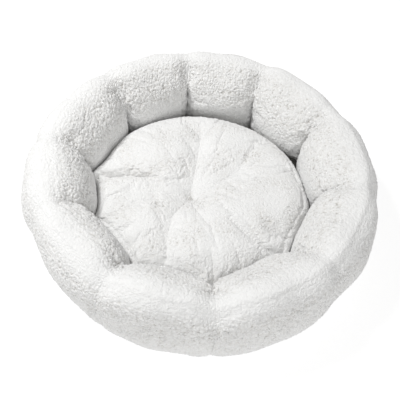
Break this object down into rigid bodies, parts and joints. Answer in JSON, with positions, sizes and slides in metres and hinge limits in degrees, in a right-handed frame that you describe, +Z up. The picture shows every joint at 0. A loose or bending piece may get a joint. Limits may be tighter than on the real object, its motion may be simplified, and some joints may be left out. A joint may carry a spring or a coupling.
{
  "type": "pet cushion bed",
  "caption": "Round nest bed for a pet: a ring of stuffed curly-pile petals on a flat base, with a loose tufted cushion in the middle.",
  "frame": {"origin": "centre of the bed's footprint, on the floor it rests on", "axes": "+Z up out of the nest; the viewer who faces the bed looks along +Y, with +X to the right"},
  "size_m": [0.5006, 0.4969, 0.134],
  "materials": {
    "sherpa": "matte",
    "fibre_fill": "matte",
    "sewing_thread": "matte",
    "base_canvas": "matte",
    "lining_cloth": "matte"
  },
  "bodies": {
    "bed_shell": {"petal_cover_01": "sherpa", "petal_cover_02": "sherpa", "petal_cover_03": "sherpa", "petal_cover_04": "sherpa", "petal_cover_05": "sherpa", "petal_cover_06": "sherpa", "petal_cover_07": "sherpa", "petal_cover_08": "sherpa", "petal_cover_09": "sherpa", "petal_cover_10": "sherpa", "petal_fill_01": "fibre_fill", "petal_fill_02": "fibre_fill", "petal_fill_03": "fibre_fill", "petal_fill_04": "fibre_fill", "petal_fill_05": "fibre_fill", "petal_fill_06": "fibre_fill", "petal_fill_07": "fibre_fill", "petal_fill_08": "fibre_fill", "petal_fill_09": "fibre_fill", "petal_fill_10": "fibre_fill", "seam_thread_01": "sewing_thread", "seam_thread_02": "sewing_thread", "seam_thread_03": "sewing_thread", "seam_thread_04": "sewing_thread", "seam_thread_05": "sewing_thread", "seam_thread_06": "sewing_thread", "seam_thread_07": "sewing_thread", "seam_thread_08": "sewing_thread", "seam_thread_09": "sewing_thread", "seam_thread_10": "sewing_thread", "base_panel": "base_canvas", "base_pad": "fibre_fill", "base_lining": "lining_cloth"},
    "cushion": {"cushion_cover_top": "sherpa", "cushion_cover_bottom": "sherpa", "cushion_fill": "fibre_fill", "tuft_thread": "sewing_thread"}
  },
  "joints": [
    {"name": "cushion_lift", "type": "slide", "parent": "bed_shell", "child": "cushion", "axis": [0, 0, 1], "range_m": [0, 0.16]}
  ]
}
